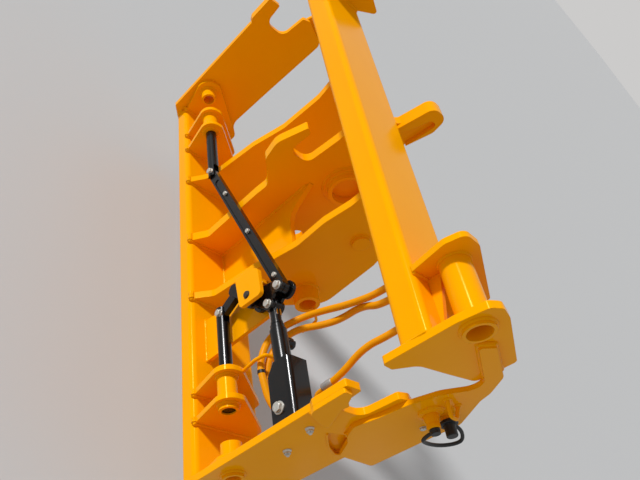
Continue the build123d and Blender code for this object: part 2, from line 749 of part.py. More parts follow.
def hose_manifold():
    """Block behind the upper beam that the two hoses come from."""
    depth = (BEAM_REAR_Y, BEAM_REAR_Y + MANIFOLD_D)
    return block(MANIFOLD_LOW_X, MANIFOLD_HIGH_X, *depth, MANIFOLD_LOW_Z, BEAM_LOW_Z + MANIFOLD_RISE)


def feed_hose():
    """Third hose, from the beam down to the steel pipe that it ends in."""
    hose = along(FEED_ROWS, HOSE_BEND_R, FEED_HOSE_R)
    return hose + along(PIPE_ROWS, 2 * FEED_PIPE_R, FEED_PIPE_R)


def coupling_plug():
    """Rubber plug in the end of the first coupling."""
    x0 = COUPLING_X + STUB_L
    return rod_x(x0, x0 + PLUG_L, STUB_Y, STUB_Z, PLUG_R)


def coupling_cap():
    """Capped second coupling: a wide flange between two narrower steps."""
    cap = None
    x0 = COUPLING_X
    for length, r in CAP_STEPS:
        ring = rod_x(x0, x0 + length, CAP_Y, CAP_Z, r)
        cap = ring if cap is None else cap + ring
        x0 += length
    return cap


# Guard over the couplings: x past the throat plate, then y, z
GUARD_ROWS = [(0.0, 105.0, 353.0), (22.0, 113.0, 347.0), (22.0, 131.0, 345.0), (0.0, 137.0, 350.0)]


def throat_plate_left():
    """Left throat plate, with the tapered stub of the first coupling and the bent guard rod."""
    plate = plate_x(outline(THROAT_LEFT_ROWS), SIDE_OUT, THROAT_T)
    cone = Cone(STUB_ROOT_R, STUB_END_R, STUB_L)
    plate += Pos(COUPLING_X + STUB_L / 2, STUB_Y, STUB_Z) * Rot(0, 90, 0) * cone
    rod = along([(COUPLING_X + x, y, z) for x, y, z in GUARD_ROWS], 2 * GUARD_R, GUARD_R)
    return plate + (rod - block(SIDE_OUT - THROAT_T, COUPLING_X, 0, 2 * CAP_Y, 0, 2 * CAP_Z))


save("lower_cross_member", lower_cross_member())
save("top_beam", top_beam())
save_pair("side_plate", side_plate())
save_pair("hook_plate", plate_x(outline(HOOK_ROWS), SIDE_OUT, HOOK_T))
save("throat_plate_left", throat_plate_left())
save("throat_plate_right", mirror(plate_x(outline(THROAT_RIGHT_ROWS), SIDE_OUT, THROAT_T), about=Plane.YZ))
save_pair("head_plate", head_plate())
save_pair("inner_head_plate", inner_head_plate())
save_pair("head_tube", head_tube())
save_pair("beam_gusset", beam_gusset())
save("cheek_right", centre_plate(RIGHT_CHEEK_ROWS, RIGHT_CHEEK_X, CHEEK_T))
save("cheek_left", cheek_left())
save("horn_plate", horn_plate())
save("cross_web", plate_y(outline(WEB_ROWS), WEB_Y + WEB_T, WEB_T))
save("pin_guide_left", pin_guide_left())
save("pin_guide_right", mirror(pin_guide(), about=Plane.YZ))
save_pair("pin_boss", pin_boss())
save("crank_bracket", crank_bracket())
save("cylinder_cover", cylinder_cover())
save("lock_pin_left", lock_pin(LEFT_FORK_X, 1))
save("lock_pin_right", lock_pin(RIGHT_FORK_X, -1))
save("bell_crank", bell_crank())
save("drag_link", drag_link())
save("toggle_link", toggle_link())
save("cylinder_barrel", cylinder_barrel())
save("cylinder_rod", cylinder_rod())
save("hose_manifold", hose_manifold())
save("port_block", port_block())
save("hose_a", along(HOSE_A_ROWS, HOSE_BEND_R, HOSE_R))
save("hose_b", along(HOSE_B_ROWS, HOSE_BEND_R, HOSE_R))
save("feed_hose", feed_hose())
save("coupling_plug", coupling_plug())
save("coupling_cap", coupling_cap())
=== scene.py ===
"""Looks of the quick-attach tool carriage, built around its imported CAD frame.

Places are written as rows of x, y, z in millimetres about the lock-pin axis, as in
the part's source, and at() turns them into the frame's metres.
"""

import json
import logging
import math
import random
from dataclasses import dataclass, field
from enum import Enum
from typing import Sequence

import bmesh
import bpy
from mathutils import Matrix, Vector

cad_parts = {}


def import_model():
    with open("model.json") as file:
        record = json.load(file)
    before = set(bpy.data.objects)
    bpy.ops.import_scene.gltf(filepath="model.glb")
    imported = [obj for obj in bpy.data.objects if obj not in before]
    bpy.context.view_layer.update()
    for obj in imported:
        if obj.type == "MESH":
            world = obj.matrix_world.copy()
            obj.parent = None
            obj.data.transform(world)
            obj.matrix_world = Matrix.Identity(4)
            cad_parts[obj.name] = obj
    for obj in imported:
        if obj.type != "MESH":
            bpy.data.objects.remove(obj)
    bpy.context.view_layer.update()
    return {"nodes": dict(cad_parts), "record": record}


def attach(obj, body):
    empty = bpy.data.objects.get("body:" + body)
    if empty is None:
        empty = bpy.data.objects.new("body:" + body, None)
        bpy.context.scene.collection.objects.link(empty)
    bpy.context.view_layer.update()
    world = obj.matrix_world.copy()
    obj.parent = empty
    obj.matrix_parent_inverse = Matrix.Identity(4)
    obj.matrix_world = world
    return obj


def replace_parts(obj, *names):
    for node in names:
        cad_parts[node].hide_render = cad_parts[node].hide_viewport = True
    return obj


log = logging.getLogger("carriage")

MM = 0.001
PIVOT_Y = 168.0
PIVOT_Z = 70.0
CREASE_DEG = 35.0
SEED = 20
NOISE_ROUGHNESS = 0.55
# How far outside a tube the middle of its weld lies
WELD_OUT = 0.4

# Outer faces and tops of the CAD plates that the pieces here stand on
SIDE_IN = 506.0
SIDE_OUT = 518.0
COUPLING_X = 526.0
LOWER_TOP = -78.0
BEAM_TOP = 437.6
BEAM_LOW = 386.0

# Sockets of the Mix node where it mixes colours
MIX_FIRST, MIX_SECOND, MIX_RESULT = 6, 7, 2

Row = tuple[float, float, float]
Pair = tuple[float, float]
# Where a turned weld lies: x, radius, and the size of the weld
Ring = tuple[float, float, float]
# A weld: the corner line that it fills, its size, and whether it goes all the way round
Run = tuple[Sequence[Row], float, bool]


def at(place: Sequence[float]) -> Vector:
    """Turn a place in millimetres about the lock-pin axis into the frame's metres.

    Args:
        place: The row of x, y and z.

    Returns:
        The point in metres.
    """
    return Vector((place[0], place[1] - PIVOT_Y, place[2] - PIVOT_Z)) * MM


def linear_from_hex(text: str) -> tuple[float, float, float, float]:
    """Turn an sRGB hex colour into a linear one.

    Args:
        text: The colour, such as "#F2A000".

    Returns:
        Red, green, blue and an alpha of 1.
    """
    # The numbers are those of the sRGB standard's own curve
    levels = [int(text[i : i + 2], 16) / 255 for i in (1, 3, 5)]
    red, green, blue = (c / 12.92 if c <= 0.04045 else ((c + 0.055) / 1.055) ** 2.4 for c in levels)
    return red, green, blue, 1.0


def add_node(
    material: bpy.types.Material | bpy.types.World,
    kind: str,
    settings: dict[str, object] | None = None,
    links: dict[str, bpy.types.NodeSocket] | None = None,
) -> bpy.types.Node:
    """Add a shader node, set its properties and sockets, and link its inputs.

    Args:
        material: The material or world that gets the node.
        kind: The node's type name.
        settings: Values by socket name, or by property name where no socket has it.
        links: Sockets that feed the node's inputs, by input name.

    Returns:
        The new node.
    """
    node = material.node_tree.nodes.new(kind)
    for name, value in (settings or {}).items():
        if name in node.inputs:
            node.inputs[name].default_value = value
        else:
            setattr(node, name, value)
    for name, socket in (links or {}).items():
        material.node_tree.links.new(socket, node.inputs[name])
    return node


def blank_material(name: str) -> tuple[bpy.types.Material, bpy.types.NodeSocket]:
    """Start a material with no nodes but its object coordinates.

    Args:
        name: The material's name.

    Returns:
        The material and the socket of the object coordinates.
    """
    material = bpy.data.materials.new(name)
    material.use_nodes = True
    material.node_tree.nodes.clear()
    return material, add_node(material, "ShaderNodeTexCoord").outputs["Object"]


def noise(
    material: bpy.types.Material, place: bpy.types.NodeSocket, size_mm: float, detail: float
) -> bpy.types.NodeSocket:
    """Add a noise pattern of a real size.

    Args:
        material: The material that gets it.
        place: The coordinates that it reads.
        size_mm: The size of its patches.
        detail: How many finer layers it has.

    Returns:
        The pattern's value.
    """
    settings = {"Scale": 1 / (size_mm * MM), "Detail": detail, "Roughness": NOISE_ROUGHNESS}
    return add_node(material, "ShaderNodeTexNoise", settings, {"Vector": place}).outputs["Fac"]


def two_tones(
    material: bpy.types.Material, first_hex: str, second_hex: str, share: bpy.types.NodeSocket
) -> bpy.types.NodeSocket:
    """Mix two colours by a pattern.

    Args:
        material: The material that gets the mix.
        first_hex: The colour where the pattern is 0.
        second_hex: The colour where the pattern is 1.
        share: The pattern.

    Returns:
        The colour.
    """
    kind = {"data_type": "RGBA", "blend_type": "MIX"}
    mix = add_node(material, "ShaderNodeMix", kind, {"Factor": share})
    mix.inputs[MIX_FIRST].default_value = linear_from_hex(first_hex)
    mix.inputs[MIX_SECOND].default_value = linear_from_hex(second_hex)
    return mix.outputs[MIX_RESULT]


def finish_surface(
    material: bpy.types.Material,
    colour: bpy.types.NodeSocket,
    height: bpy.types.NodeSocket,
    depth_mm: float,
    edge_mm: float,
    settings: dict[str, object],
) -> None:
    """Add the bump, the rounded edges, the shader and the output.

    Args:
        material: The material to complete.
        colour: Its base colour.
        height: The pattern of its relief.
        depth_mm: The depth of that relief.
        edge_mm: The radius that its edges look rounded to.
        settings: Constants for the shader's own sockets.
    """
    rounded = add_node(material, "ShaderNodeBevel", {"samples": 4, "Radius": edge_mm * MM})
    relief = add_node(
        material,
        "ShaderNodeBump",
        {"Strength": 1.0, "Distance": depth_mm * MM},
        {"Height": height, "Normal": rounded.outputs["Normal"]},
    )
    links = {"Base Color": colour, "Normal": relief.outputs["Normal"]}
    shader = add_node(material, "ShaderNodeBsdfPrincipled", settings, links)
    add_node(material, "ShaderNodeOutputMaterial", None, {"Surface": shader.outputs["BSDF"]})


@dataclass(frozen=True)
class SprayedEnamel:
    """Two-pack polyurethane enamel sprayed on steel: a deep gloss with faint orange peel."""

    name: str
    body_hex: str
    thin_hex: str
    gloss_hex: str
    roughness: float
    specular: float
    coat: float = 0.0
    coat_roughness: float = 0.06
    ior: float = 1.5
    peel_mm: float = 3.0
    peel_depth_mm: float = 0.012
    mottle_mm: float = 90.0
    edge_mm: float = 1.5

    def build(self) -> bpy.types.Material:
        """Make the enamel, whose film is a little thinner and warmer in wide patches.

        Returns:
            The material.
        """
        material, place = blank_material(self.name)
        mottle = noise(material, place, self.mottle_mm, detail=3.0)
        colour = two_tones(material, self.body_hex, self.thin_hex, mottle)
        settings = {
            "Roughness": self.roughness,
            "IOR": self.ior,
            "Specular IOR Level": self.specular,
            "Specular Tint": linear_from_hex(self.gloss_hex),
            "Coat Weight": self.coat,
            "Coat Roughness": self.coat_roughness,
        }
        peel = noise(material, place, self.peel_mm, detail=1.0)
        finish_surface(material, colour, peel, self.peel_depth_mm, self.edge_mm, settings)
        return material


@dataclass(frozen=True)
class ZincPlate:
    """Zinc plate under a passivate: part metal and part milky film, in a cloudy bloom."""

    name: str
    body_hex: str = "#DCDAD2"
    bloom_hex: str = "#B2B0A8"
    roughness: float = 0.36
    metallic: float = 0.55
    bloom_mm: float = 3.5
    grain_mm: float = 0.7
    grain_depth_mm: float = 0.01
    edge_mm: float = 0.4

    def build(self) -> bpy.types.Material:
        """Make the plate, rougher than chrome so that it reads as satin.

        Returns:
            The material.
        """
        material, place = blank_material(self.name)
        bloom = noise(material, place, self.bloom_mm, detail=2.0)
        colour = two_tones(material, self.body_hex, self.bloom_hex, bloom)
        grain = noise(material, place, self.grain_mm, detail=1.0)
        settings = {"Metallic": self.metallic, "Roughness": self.roughness}
        finish_surface(material, colour, grain, self.grain_depth_mm, self.edge_mm, settings)
        return material


@dataclass(frozen=True)
class HardChrome:
    """Hard chrome ground on a hydraulic rod: a near mirror with fine marks round it."""

    name: str
    body_hex: str = "#D9DBDD"
    film_hex: str = "#B9BCC0"
    roughness: float = 0.1
    film_mm: float = 14.0
    mark_mm: float = 1.2
    mark_depth_mm: float = 0.002
    edge_mm: float = 0.5

    def build(self) -> bpy.types.Material:
        """Make the chrome, with a thin oil film in patches.

        Returns:
            The material.
        """
        material, place = blank_material(self.name)
        film = noise(material, place, self.film_mm, detail=2.0)
        colour = two_tones(material, self.body_hex, self.film_hex, film)
        marks = noise(material, place, self.mark_mm, detail=1.0)
        settings = {"Metallic": 1.0, "Roughness": self.roughness}
        finish_surface(material, colour, marks, self.mark_depth_mm, self.edge_mm, settings)
        return material


@dataclass(frozen=True)
class MouldedRubber:
    """Moulded rubber, black or under yellow overspray: a soft sheen over a fine grain."""

    name: str
    body_hex: str
    bloom_hex: str
    roughness: float
    grain_mm: float
    grain_depth_mm: float
    specular: float = 0.4
    ior: float = 1.52
    bloom_mm: float = 20.0
    edge_mm: float = 0.5

    def build(self) -> bpy.types.Material:
        """Make the rubber, whose grain breaks up the highlights.

        Returns:
            The material.
        """
        material, place = blank_material(self.name)
        bloom = noise(material, place, self.bloom_mm, detail=3.0)
        colour = two_tones(material, self.body_hex, self.bloom_hex, bloom)
        grain = noise(material, place, self.grain_mm, detail=2.0)
        settings = {
            "Roughness": self.roughness,
            "IOR": self.ior,
            "Specular IOR Level": self.specular,
        }
        finish_surface(material, colour, grain, self.grain_depth_mm, self.edge_mm, settings)
        return material


class Finish(Enum):
    """The finishes on the carriage, each with the record's slot that it belongs to."""

    # A warm gloss, whose mirrored surroundings stay faint under the strong colour
    YELLOW = (
        "yellow_paint",
        SprayedEnamel(
            name="yellow_polyurethane_enamel",
            body_hex="#FFAB00",
            thin_hex="#FAA300",
            gloss_hex="#FFC040",
            roughness=0.15,
            specular=0.08,
        ),
    )
    # Nearly all that shows of the black is its gloss, so a thin clear coat sharpens it
    BLACK = (
        "black_gloss",
        SprayedEnamel(
            name="black_polyurethane_enamel",
            body_hex="#080809",
            thin_hex="#0C0C0D",
            gloss_hex="#FFFFFF",
            roughness=0.22,
            specular=0.3,
            coat=0.1,
        ),
    )
    # Nearly white in the light and never a mirror, so the bolts stand out of the paint
    ZINC = ("plated_steel", ZincPlate("bright_zinc_plate"))
    # A crimped ferrule, tumbled dull before it was plated
    SATIN = (
        "plated_steel",
        ZincPlate("satin_zinc_plate", "#BDBCB9", "#A09E9A", roughness=0.52),
    )
    # Dark crystals that hold oil, so the screw hardly shines
    PHOSPHATE = (
        "plated_steel",
        ZincPlate("oiled_phosphate", "#4A4540", "#38342F", roughness=0.42),
    )
    # The one mirror on the piece, so the rod shows a long clean glint
    CHROME = ("chromed_rod", HardChrome("hard_chrome"))
    # Dull beside the black enamel, with a faint grey bloom in patches
    RUBBER = (
        "rubber",
        MouldedRubber("moulded_black_rubber", "#0D0D0E", "#1B1B1C", 0.45, 0.8, 0.03),
    )
    # The overspray fills the rubber's grain, and leaves a duller yellow than on steel
    HOSE = (
        "yellow_hose",
        MouldedRubber(
            "oversprayed_hose_rubber", "#EFA000", "#E59400", 0.38, 1.6, 0.06, specular=0.12
        ),
    )

    @property
    def slot(self) -> str:
        """The record's slot."""
        return self.value[0]

    def build(self) -> bpy.types.Material:
        """Make the finish's material."""
        return self.value[1].build()


@dataclass
class Bench:
    """Where pieces get their finish and body."""

    finishes: dict[Finish, bpy.types.Material]

    def fit(
        self, name: str, shape: bmesh.types.BMesh, finish: Finish, body: str
    ) -> bpy.types.Object:
        """Turn a shape into a piece and put it on its body.

        Args:
            name: The piece's name.
            shape: Its mesh, which is used up.
            finish: Its finish.
            body: The CAD body that it rides on.

        Returns:
            The piece.
        """
        bmesh.ops.recalc_face_normals(shape, faces=shape.faces)
        for face in shape.faces:
            face.smooth = True
        crease = math.radians(CREASE_DEG)
        for edge in shape.edges:
            edge.smooth = len(edge.link_faces) == 2 and edge.calc_face_angle() < crease
        mesh = bpy.data.meshes.new(name)
        shape.to_mesh(mesh)
        shape.free()
        mesh.materials.append(self.finishes[finish])
        piece = bpy.data.objects.new(name, mesh)
        bpy.context.scene.collection.objects.link(piece)
        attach(piece, body)
        finish.slot
        log.info("%s: %d faces on %s", name, len(mesh.polygons), body)
        return piece


def skin(
    shape: bmesh.types.BMesh, rings: Sequence[Sequence[bmesh.types.BMVert]], closed: bool
) -> None:
    """Join rings of vertices, and cap the first and the last unless they meet.

    Args:
        shape: The mesh that they are in.
        rings: The rings, each with as many vertices.
        closed: Whether the last ring joins the first.
    """
    pairs = list(zip(rings, rings[1:]))
    if closed:
        pairs.append((rings[-1], rings[0]))
    for near, far in pairs:
        for i in range(len(near)):
            j = (i + 1) % len(near)
            shape.faces.new((near[i], near[j], far[j], far[i]))
    if not closed:
        shape.faces.new(list(reversed(rings[0])))
        shape.faces.new(rings[-1])


def turn(
    shape: bmesh.types.BMesh,
    start: Row,
    axis: Row,
    rows: Sequence[Pair],
    flats: float = 0.0,
    steps: int = 48,
) -> None:
    """Add a turned form, or a hexagonal one whose corners are turned off.

    Args:
        shape: The mesh that gets it.
        start: The place of its first row.
        axis: The direction that its rows go in.
        rows: Rows of distance along the axis and radius.
        flats: The size across flats of a hexagon that cuts the radius, or 0.
        steps: How many vertices go round.
    """
    direction = Vector(axis).normalized()
    side = direction.orthogonal().normalized()
    up = direction.cross(side)
    rings = []
    for along, radius in rows:
        ring = []
        for step in range(steps):
            angle = math.tau * step / steps
            reach = radius
            if flats:
                reach = min(radius, flats / 2 / math.cos(angle % (math.pi / 3) - math.pi / 6))
            out = side * math.cos(angle) + up * math.sin(angle)
            point = Vector(start) + direction * along + out * reach
            ring.append(shape.verts.new(at(point)))
        rings.append(ring)
    skin(shape, rings, closed=False)


def walk(points: Sequence[Row], step: float, closed: bool) -> list[Vector]:
    """Walk along straight runs at an even step.

    Args:
        points: The ends of the runs.
        step: The distance between two places.
        closed: Whether the last point joins the first.

    Returns:
        The places.
    """
    ends = [Vector(p) for p in points]
    if closed:
        ends.append(ends[0])
    places = []
    for start, end in zip(ends, ends[1:]):
        count = max(1, round((end - start).length / step))
        places += [start.lerp(end, i / count) for i in range(count)]
    if not closed:
        places.append(ends[-1])
    return places


def along_spline(points: Sequence[Row], per_span: int) -> list[Vector]:
    """Read places along the smooth line that a bent hose or strap takes.

    Args:
        points: The control points of its NURBS spline.
        per_span: How many places each span gets.

    Returns:
        The places, from the first point to the last.
    """
    curve = bpy.data.curves.new("route", "CURVE")
    curve.dimensions = "3D"
    curve.resolution_u = per_span
    spline = curve.splines.new("NURBS")
    spline.points.add(len(points) - 1)
    for control, point in zip(spline.points, points):
        control.co = (*point, 1.0)
    spline.order_u = 3
    spline.use_endpoint_u = True
    route = bpy.data.objects.new("route", curve)
    line = bpy.data.meshes.new_from_object(route)
    places = [vertex.co.copy() for vertex in line.vertices]
    bpy.data.meshes.remove(line)
    bpy.data.objects.remove(route)
    bpy.data.curves.remove(curve)
    return places


def sweep(
    shape: bmesh.types.BMesh,
    places: Sequence[Vector],
    radii: Sequence[float],
    closed: bool,
    sides: int = 8,
) -> None:
    """Add a round form along places, with a radius at each.

    Args:
        shape: The mesh that gets it.
        places: The middle of each ring.
        radii: The radius of each ring.
        closed: Whether the last ring joins the first.
        sides: How many vertices go round.
    """
    count = len(places)
    across = (places[1] - places[0]).orthogonal().normalized()
    rings = []
    for i, (place, radius) in enumerate(zip(places, radii)):
        before = places[i - 1] if i or closed else place
        after = places[(i + 1) % count] if i + 1 < count or closed else place
        tangent = (after - before).normalized()
        across = (across - tangent * across.dot(tangent)).normalized()
        up = tangent.cross(across)
        ring = []
        for side in range(sides):
            angle = math.tau * side / sides
            out = across * math.cos(angle) + up * math.sin(angle)
            ring.append(shape.verts.new(at(place + out * radius)))
        rings.append(ring)
    skin(shape, rings, closed)


def circle_x(x: float, y: float, z: float, radius: float, count: int = 40) -> list[Row]:
    """Give the points of a circle that is square to X.

    Args:
        x: The place of the circle along X.
        y: The middle's y.
        z: The middle's z.
        radius: The circle's radius.
        count: How many points it has.

    Returns:
        The points, from the rear upwards.
    """
    turns = [math.tau * i / count for i in range(count)]
    return [(x, y + radius * math.cos(t), z + radius * math.sin(t)) for t in turns]


def foot_loop(x: Pair, y: Pair, z: float) -> list[Row]:
    """Give the corners of the line round a plate's foot, open at the rear.

    Args:
        x: The two faces of the plate.
        y: Its front and rear end.
        z: The height that it stands at.

    Returns:
        The corners, from one rear corner round the front to the other.
    """
    return [(x[0], y[1], z), (x[0], y[0], z), (x[1], y[0], z), (x[1], y[1], z)]


@dataclass
class Welds:
    """Runs of gas-shielded weld, whose pool froze in ripples, painted over."""

    bench: Bench
    dice: random.Random = field(default_factory=lambda: random.Random(SEED))
    pitch: float = 3.2
    step: float = 0.9
    # Shares of a run's size: its ripples, its slow swelling and its thin ends
    ripple: float = 0.1
    ripple_middle: float = 0.6
    swell_share: float = 0.12
    swell_pace: float = 0.15
    wander: float = 0.35
    wander_share: float = 0.4
    end_share: float = 0.5

    def run(
        self, shape: bmesh.types.BMesh, points: Sequence[Row], radius: float, closed: bool
    ) -> None:
        """Lay one run.

        Args:
            shape: The mesh that gets it.
            points: The corner line that it fills.
            radius: Its size.
            closed: Whether it goes all the way round.
        """
        places = walk(points, self.step, closed)
        radii = []
        swell = 1.0
        for i, place in enumerate(places):
            phase = (i * self.step / self.pitch) % 1.0
            target = 1.0 + self.dice.uniform(-self.swell_share, self.swell_share)
            swell += self.swell_pace * (target - swell)
            ripple = self.ripple * (math.sqrt(1 - phase) - self.ripple_middle)
            radii.append(radius * swell * (1 + ripple))
            drift = Vector([self.dice.uniform(-1, 1) for _ in range(3)])
            places[i] = place + drift * self.wander * self.wander_share
        if not closed:
            radii[0] = radii[-1] = radius * self.end_share
        sweep(shape, places, radii, closed)

    def lay(self, name: str, runs: Sequence[Run], body: str = "carriage") -> None:
        """Lay several runs as one piece.

        Args:
            name: The piece's name.
            runs: Rows of points, size and whether the run is closed.
            body: The body that it rides on.
        """
        shape = bmesh.new()
        for points, radius, closed in runs:
            self.run(shape, points, radius, closed)
        self.bench.fit(name, shape, Finish.YELLOW, body)


@dataclass(frozen=True)
class HexBolt:
    """Head of a hexagon bolt on its washer, in millimetres."""

    flats: float
    height: float
    washer_r: float
    washer_t: float = 1.6

    def add(self, shape: bmesh.types.BMesh, place: Row, axis: Row) -> None:
        """Add the washer and the head, with its corners turned off at 30 degrees.

        Args:
            shape: The mesh that gets them.
            place: The middle of the washer's foot.
            axis: The direction that the head points in.
        """
        r, t = self.washer_r, self.washer_t
        turn(shape, place, axis, [(-0.5, r), (t - 0.3, r), (t, r - 0.3), (t, 1.0)])
        corner = self.flats / math.sqrt(3)
        rows = [
            (t - 0.1, self.flats / 2 - 0.4),
            (t + 0.3, self.flats / 2 - 0.3),
            (t + 0.3, corner),
            (t + self.height - 1.3, corner),
            (t + self.height - 0.5, self.flats / 2 + 0.2),
            (t + self.height, self.flats / 2 - 0.7),
            (t + self.height - 0.15, self.flats / 4),
        ]
        turn(shape, place, axis, rows, self.flats)


@dataclass(frozen=True)
class FlangeNut:
    """Flange nut with the end of its bolt standing through it, in millimetres."""

    flats: float
    height: float
    flange_r: float
    thread_r: float
    thread_l: float
    thread_pitch: float = 1.5

    def add(self, shape: bmesh.types.BMesh, place: Row, axis: Row) -> None:
        """Add the flange, the hexagon and the thread.

        Args:
            shape: The mesh that gets them.
            place: The middle of the flange's foot.
            axis: The direction that the thread points in.
        """
        r = self.flange_r
        flange = [(-0.5, r), (1.3, r), (3.2, self.flats / 2 + 0.6), (3.4, self.thread_r)]
        turn(shape, place, axis, flange)
        corner = self.flats / math.sqrt(3)
        rows = [
            (2.6, corner),
            (self.height - 1.3, corner),
            (self.height - 0.4, self.flats / 2 + 0.2),
            (self.height, self.flats / 2 - 0.8),
            (self.height - 1.0, self.thread_r),
        ]
        turn(shape, place, axis, rows, self.flats)
        thread = []
        reach = self.height - 1.5
        while reach < self.height + self.thread_l - self.thread_pitch:
            thread += [(reach, self.thread_r - 0.9), (reach + self.thread_pitch / 2, self.thread_r)]
            reach += self.thread_pitch
        end = self.height + self.thread_l
        thread += [(end - 0.8, self.thread_r - 0.6), (end, self.thread_r - 1.4)]
        turn(shape, place, axis, thread, steps=32)


@dataclass(frozen=True)
class HoseEnd:
    """Swivel nut and crimped ferrule of a hydraulic hose, in millimetres."""

    hose_r: float
    ferrule_r: float
    ferrule_l: float
    flats: float
    nut_l: float = 8.0
    grooves: int = 4
    groove_depth: float = 0.8

    def add(self, shape: bmesh.types.BMesh, place: Row, axis: Row) -> None:
        """Add the nut and the ferrule with its crimped grooves.

        Args:
            shape: The mesh that gets them.
            place: Where the hose goes into its block.
            axis: The direction from the block along the hose.
        """
        corner = self.flats / math.sqrt(3)
        nut = [(0.0, corner - 1.2), (1.0, corner)]
        nut += [(self.nut_l - 1.0, corner), (self.nut_l, corner - 1.4)]
        turn(shape, place, axis, nut, self.flats)
        rows = [(self.nut_l - 0.5, self.ferrule_r - 1.5)]
        pitch = self.ferrule_l / self.grooves
        groove = self.ferrule_r - self.groove_depth
        for i in range(self.grooves):
            reach = self.nut_l + 0.5 + i * pitch
            rows += [(reach, self.ferrule_r), (reach + 0.68 * pitch, self.ferrule_r)]
            rows += [(reach + 0.76 * pitch, groove), (reach + 0.92 * pitch, groove)]
        end = self.nut_l + self.ferrule_l
        rows += [(end, self.hose_r + 0.9), (end + 1.5, self.hose_r)]
        turn(shape, place, axis, rows)


FORWARD: Row = (0.0, -1.0, 0.0)
REARWARD: Row = (0.0, 1.0, 0.0)
LEFTWARD: Row = (1.0, 0.0, 0.0)
RIGHTWARD: Row = (-1.0, 0.0, 0.0)
DOWNWARD: Row = (0.0, 0.0, -1.0)
M10 = HexBolt(flats=15.0, height=6.0, washer_r=10.5, washer_t=2.0)
M8 = HexBolt(flats=13.0, height=5.0, washer_r=8.4)
M6 = HexBolt(flats=9.0, height=3.0, washer_r=5.2, washer_t=0.8)
LOW_HEAD = HexBolt(flats=12.0, height=2.6, washer_r=7.4, washer_t=0.8)
THIN_NUT = HexBolt(flats=13.0, height=3.4, washer_r=7.5, washer_t=0.6)
SIDE_NUT = FlangeNut(flats=10.0, height=6.5, flange_r=7.0, thread_r=3.2, thread_l=3.5)


@dataclass
class LowerMember:
    """Welds of the lower cross member: its ends, and the feet of what stands on it."""

    ends_y: Pair = (-4.0, 138.0)
    lip_y: float = -15.0
    lip_z: Pair = (-112.0, -90.0)
    lugs: tuple[Pair, ...] = ((333.0, 343.0), (388.0, 398.0), (496.0, 505.0))
    lug_y: Pair = (-13.0, 121.0)
    plates: tuple[Pair, ...] = ((-234.0, -218.0), (-52.0, -32.0), (110.0, 126.0))
    plate_y: Pair = (-13.0, 138.0)
    post_x: Pair = (168.0, 262.0)
    post_y: Pair = (20.0, 28.0)
    web_x: Pair = (-32.0, 110.0)
    web_y: Pair = (78.0, 90.0)
    web_top: Pair = (198.0, 128.0)
    size: float = 4.2
    toe: float = 6.2
    post_size: float = 3.4
    web_size: float = 3.6

    def build(self, welds: Welds) -> None:
        """Lay the welds.

        Args:
            welds: The maker of the runs.
        """
        runs = []
        for hand in (-1, 1):
            top = [(hand * SIDE_IN, y, LOWER_TOP) for y in self.ends_y]
            lip = [(hand * SIDE_IN, self.lip_y, z) for z in self.lip_z]
            runs += [(top, self.size, False), (lip, self.size, False)]
            for low, high in self.lugs:
                feet = foot_loop((hand * low, hand * high), self.lug_y, LOWER_TOP)
                runs.append((feet, self.size, False))
                runs.append((feet[1:3], self.toe, False))
        welds.lay("lower_member_welds", runs)
        feet = [(foot_loop(x, self.plate_y, LOWER_TOP), self.size, False) for x in self.plates]
        feet += [(loop[1:3], self.toe, False) for loop, _, _ in feet]
        feet.append((foot_loop(self.post_x, self.post_y, LOWER_TOP), self.post_size, True))
        for y in self.web_y:
            rows = [(x, y, top) for x, top in zip(self.web_x, self.web_top)]
            rows[1:1] = [(self.web_x[0], y, LOWER_TOP), (self.web_x[1], y, LOWER_TOP)]
            feet.append((rows, self.web_size, False))
        welds.lay("centre_plate_welds", feet)


@dataclass
class PinTubes:
    """Welds round the guide tubes and bosses of the lock pins."""

    tube_r: float = 18.0
    faces_x: tuple[float, ...] = (333.0, 343.0, 388.0, 398.0, 496.0, 518.0)
    size: float = 3.4

    def build(self, welds: Welds) -> None:
        """Lay the welds on both sides.

        Args:
            welds: The maker of the runs.
        """
        hands = [hand * x for hand in (-1, 1) for x in self.faces_x]
        runs = [(circle_x(x, 0.0, 0.0, self.tube_r + WELD_OUT), self.size, True) for x in hands]
        welds.lay("pin_tube_welds", runs)


@dataclass
class Heads:
    """Welds of the upper beam's ends, the inner head plates and the head tubes."""

    tube_z: float = 484.0
    tube_r: float = 23.0
    tube_faces: tuple[Pair, ...] = ((402.0, 2.4), (412.0, 2.4), (506.0, 2.6), (518.0, 3.2))
    foot_x: Pair = (402.0, 412.0)
    foot_y: Pair = (-31.0, 79.0)
    beam_y: Pair = (-38.0, 83.0)
    bend_cut: float = 6.0
    size: float = 4.4
    end_size: float = 2.4

    def beam_loop(self, x: float) -> list[Row]:
        """Give the outline of the beam's end, with its bends cut across.

        Args:
            x: The place of the end along X.

        Returns:
            The corners.
        """
        front, rear = self.beam_y
        top, low, b = BEAM_TOP, BEAM_LOW, self.bend_cut
        yz = [(rear - b, top), (front + b, top), (front, top - b), (front, low + b)]
        yz += [(front + b, low), (rear - b, low), (rear, low + b), (rear, top - b)]
        return [(x, y, z) for y, z in yz]

    def build(self, welds: Welds) -> None:
        """Lay the welds on both sides.

        Args:
            welds: The maker of the runs.
        """
        runs = []
        for hand in (-1, 1):
            for x, size in self.tube_faces:
                ring = circle_x(hand * x, 0.0, self.tube_z, self.tube_r + WELD_OUT)
                runs.append((ring, size, True))
            feet_x = (hand * self.foot_x[0], hand * self.foot_x[1])
            runs.append((foot_loop(feet_x, self.foot_y, BEAM_TOP), self.size, False))
            runs.append((self.beam_loop(hand * SIDE_IN), self.end_size, True))
        welds.lay("head_welds", runs)


